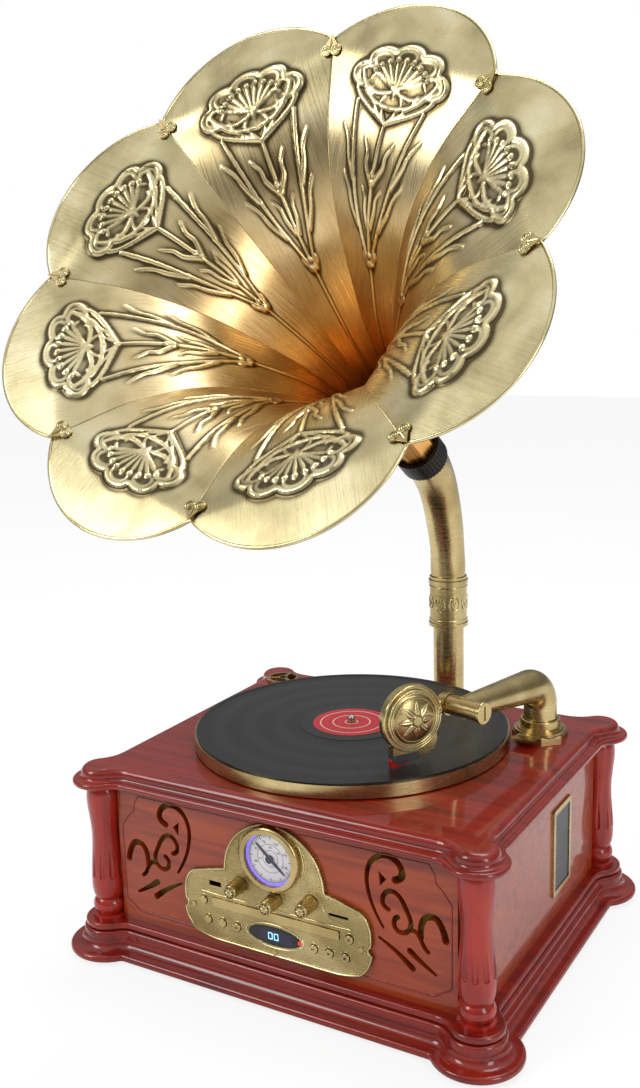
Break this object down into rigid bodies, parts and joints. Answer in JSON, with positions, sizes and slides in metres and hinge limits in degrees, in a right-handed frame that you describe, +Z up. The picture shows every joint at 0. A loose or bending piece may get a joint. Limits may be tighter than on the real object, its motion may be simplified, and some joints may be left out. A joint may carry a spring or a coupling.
{
  "type": "horn record player",
  "caption": "Horn record player: carved box cabinet with a control plate, turntable and swan-neck tonearm on the lid, and a petal horn on a post behind it.",
  "frame": {"origin": "centre of the cabinet's footprint, on the surface it stands on", "axes": "+X to the right along the front, +Y to the back, +Z up; the control plate looks to -Y"},
  "size_m": [0.4996, 0.5108, 0.8449],
  "materials": {
    "lacquered_wood": "deep red gloss lacquer over turned and moulded wood",
    "panel_wood": "orange brown gloss lacquer over veneer",
    "bare_wood": "plain unfinished wood",
    "foot_rubber": "matt black",
    "antique_brass": "brushed antique brass with darker hollows",
    "horn_brass": "satin brass with embossed flowers",
    "platter_brass": "gold anodised spun rim",
    "black_metal": "black, ribbed",
    "gold_gauze": "fine gold gauze on black",
    "steel": "plain zinc plated",
    "paper_cone": "black pressed paper",
    "cream_dial": "cream with plain ticks and numbers",
    "clear_glass": "clear",
    "dark_needle": "dark brown",
    "display_plastic": "smoked window",
    "button_brass": "brass plated plastic",
    "drive_plastic": "black moulded plastic",
    "tray_brass": "antique brass paint",
    "board_laminate": "green laminate",
    "belt_rubber": "matt black",
    "vinyl": "black with fine grooves"
  },
  "bodies": {
    "cabinet": {"plinth": "lacquered_wood", "bottom_board": "bare_wood", "rubber_feet": "foot_rubber", "front_panel": "panel_wood", "back_panel": "panel_wood", "left_panel": "panel_wood", "right_panel": "panel_wood", "corner_posts": "bare_wood", "corner_columns": "lacquered_wood", "lid": "lacquered_wood", "speaker_mesh": "gold_gauze", "speaker_frames": "steel", "speaker_cones": "paper_cone", "control_plate": "antique_brass", "dial_rim": "antique_brass", "dial_face": "cream_dial", "dial_glass": "clear_glass", "control_pots": "steel", "display_window": "display_plastic", "plate_screws": "antique_brass", "disc_drive": "drive_plastic", "media_sockets": "steel", "cassette_frame": "tray_brass", "cassette_deck": "drive_plastic", "circuit_board": "board_laminate", "rear_terminals": "drive_plastic", "turntable_motor": "steel", "drive_belt": "belt_rubber", "tonearm_base": "antique_brass", "horn_bracket": "black_metal", "horn_post": "antique_brass"},
    "turntable": {"platter": "platter_brass", "record": "vinyl", "spindle": "steel"},
    "pulley": {"motor_pulley": "steel"},
    "arm": {"tonearm": "antique_brass"},
    "head": {"soundbox": "antique_brass", "cartridge": "drive_plastic", "finger_lift": "antique_brass"},
    "lever": {"speed_lever": "antique_brass"},
    "adapter": {"adapter": "antique_brass"},
    "horn": {"horn_elbow": "antique_brass", "horn_collar": "black_metal", "horn_petals": "horn_brass", "heart_clips": "horn_brass"},
    "tray": {"cd_tray": "drive_plastic", "tray_front": "tray_brass"},
    "flap": {"cassette_door": "drive_plastic"},
    "needle": {"dial_pointer": "dark_needle"},
    "volume_knob": {"volume_knob": "antique_brass"},
    "function_knob": {"function_knob": "antique_brass"},
    "tuning_knob": {"tuning_knob": "antique_brass"},
    "mode_button": {"mode_button": "button_brass"},
    "folder_button": {"folder_button": "button_brass"},
    "previous_button": {"previous_button": "button_brass"},
    "next_button": {"next_button": "button_brass"},
    "play_button": {"play_button": "button_brass"},
    "stop_button": {"stop_button": "button_brass"},
    "repeat_button": {"repeat_button": "button_brass"},
    "eject_button": {"eject_button": "button_brass"}
  },
  "joints": [
    {"name": "platter_spin", "type": "hinge", "parent": "cabinet", "child": "turntable", "pos_m": [-0.012, 0.008, 0.1991], "axis": [0, 0, 1], "continuous": true},
    {"name": "pulley_spin", "type": "hinge", "parent": "cabinet", "child": "pulley", "pos_m": [-0.10393, -0.06914, 0.191], "axis": [0, 0, 1], "continuous": true},
    {"name": "arm_swivel", "type": "hinge", "parent": "cabinet", "child": "arm", "pos_m": [0.1488, 0.0957, 0.203], "axis": [0, 0, 1], "range_deg": [-20, 26]},
    {"name": "head_lift", "type": "hinge", "parent": "arm", "child": "head", "pos_m": [0.1016, -0.029, 0.25], "axis": [-0.9677, 0.2521, 0], "range_deg": [0, 60]},
    {"name": "lever_turn", "type": "hinge", "parent": "cabinet", "child": "lever", "pos_m": [0.1488, 0.0957, 0.192], "axis": [0, 0, 1], "range_deg": [0, 16]},
    {"name": "adapter_lift", "type": "slide", "parent": "cabinet", "child": "adapter", "axis": [0, 0, 1], "range_m": [0, 0.03]},
    {"name": "horn_swivel", "type": "hinge", "parent": "cabinet", "child": "horn", "pos_m": [0, 0.212, 0.302], "axis": [0, 0, 1], "range_deg": [-60, 60]},
    {"name": "tray_slide", "type": "slide", "parent": "cabinet", "child": "tray", "axis": [0, -1, 0], "range_m": [0, 0.125]},
    {"name": "flap_swing", "type": "hinge", "parent": "cabinet", "child": "flap", "pos_m": [0.1892, 0.06, 0.1], "axis": [0, 0, -1], "range_deg": [0, 80], "stiffness_Nm_per_rad": 0.02, "springref_deg": -11.46},
    {"name": "volume_turn", "type": "hinge", "parent": "cabinet", "child": "volume_knob", "pos_m": [-0.0345, -0.168, 0.1015], "axis": [0, -1, 0], "range_deg": [-150, 150]},
    {"name": "function_turn", "type": "hinge", "parent": "cabinet", "child": "function_knob", "pos_m": [0.0015, -0.168, 0.0952], "axis": [0, -1, 0], "range_deg": [-150, 150]},
    {"name": "tuning_turn", "type": "hinge", "parent": "cabinet", "child": "tuning_knob", "pos_m": [0.0375, -0.168, 0.1015], "axis": [0, -1, 0], "range_deg": [-150, 150]},
    {"name": "needle_swing", "type": "hinge", "parent": "cabinet", "child": "needle", "pos_m": [-0.001, -0.162, 0.134], "axis": [0, -1, 0], "range_deg": [-60, 60]},
    {"name": "mode_press", "type": "slide", "parent": "cabinet", "child": "mode_button", "axis": [0, 1, 0], "range_m": [0, 0.0012], "stiffness_N_per_m": 400, "springref_m": -0.0004},
    {"name": "folder_press", "type": "slide", "parent": "cabinet", "child": "folder_button", "axis": [0, 1, 0], "range_m": [0, 0.0012], "stiffness_N_per_m": 400, "springref_m": -0.0004},
    {"name": "previous_press", "type": "slide", "parent": "cabinet", "child": "previous_button", "axis": [0, 1, 0], "range_m": [0, 0.0012], "stiffness_N_per_m": 400, "springref_m": -0.0004},
    {"name": "next_press", "type": "slide", "parent": "cabinet", "child": "next_button", "axis": [0, 1, 0], "range_m": [0, 0.0012], "stiffness_N_per_m": 400, "springref_m": -0.0004},
    {"name": "play_press", "type": "slide", "parent": "cabinet", "child": "play_button", "axis": [0, 1, 0], "range_m": [0, 0.0012], "stiffness_N_per_m": 400, "springref_m": -0.0004},
    {"name": "stop_press", "type": "slide", "parent": "cabinet", "child": "stop_button", "axis": [0, 1, 0], "range_m": [0, 0.0012], "stiffness_N_per_m": 400, "springref_m": -0.0004},
    {"name": "repeat_press", "type": "slide", "parent": "cabinet", "child": "repeat_button", "axis": [0, 1, 0], "range_m": [0, 0.0012], "stiffness_N_per_m": 400, "springref_m": -0.0004},
    {"name": "eject_press", "type": "slide", "parent": "cabinet", "child": "eject_button", "axis": [0, 1, 0], "range_m": [0, 0.0012], "stiffness_N_per_m": 400, "springref_m": -0.0004}
  ],
  "couplings": [
    {"joint": "pulley_spin", "follows": "platter_spin", "ratio": 11.5},
    {"joint": "needle_swing", "follows": "tuning_turn", "ratio": 0.4}
  ]
}
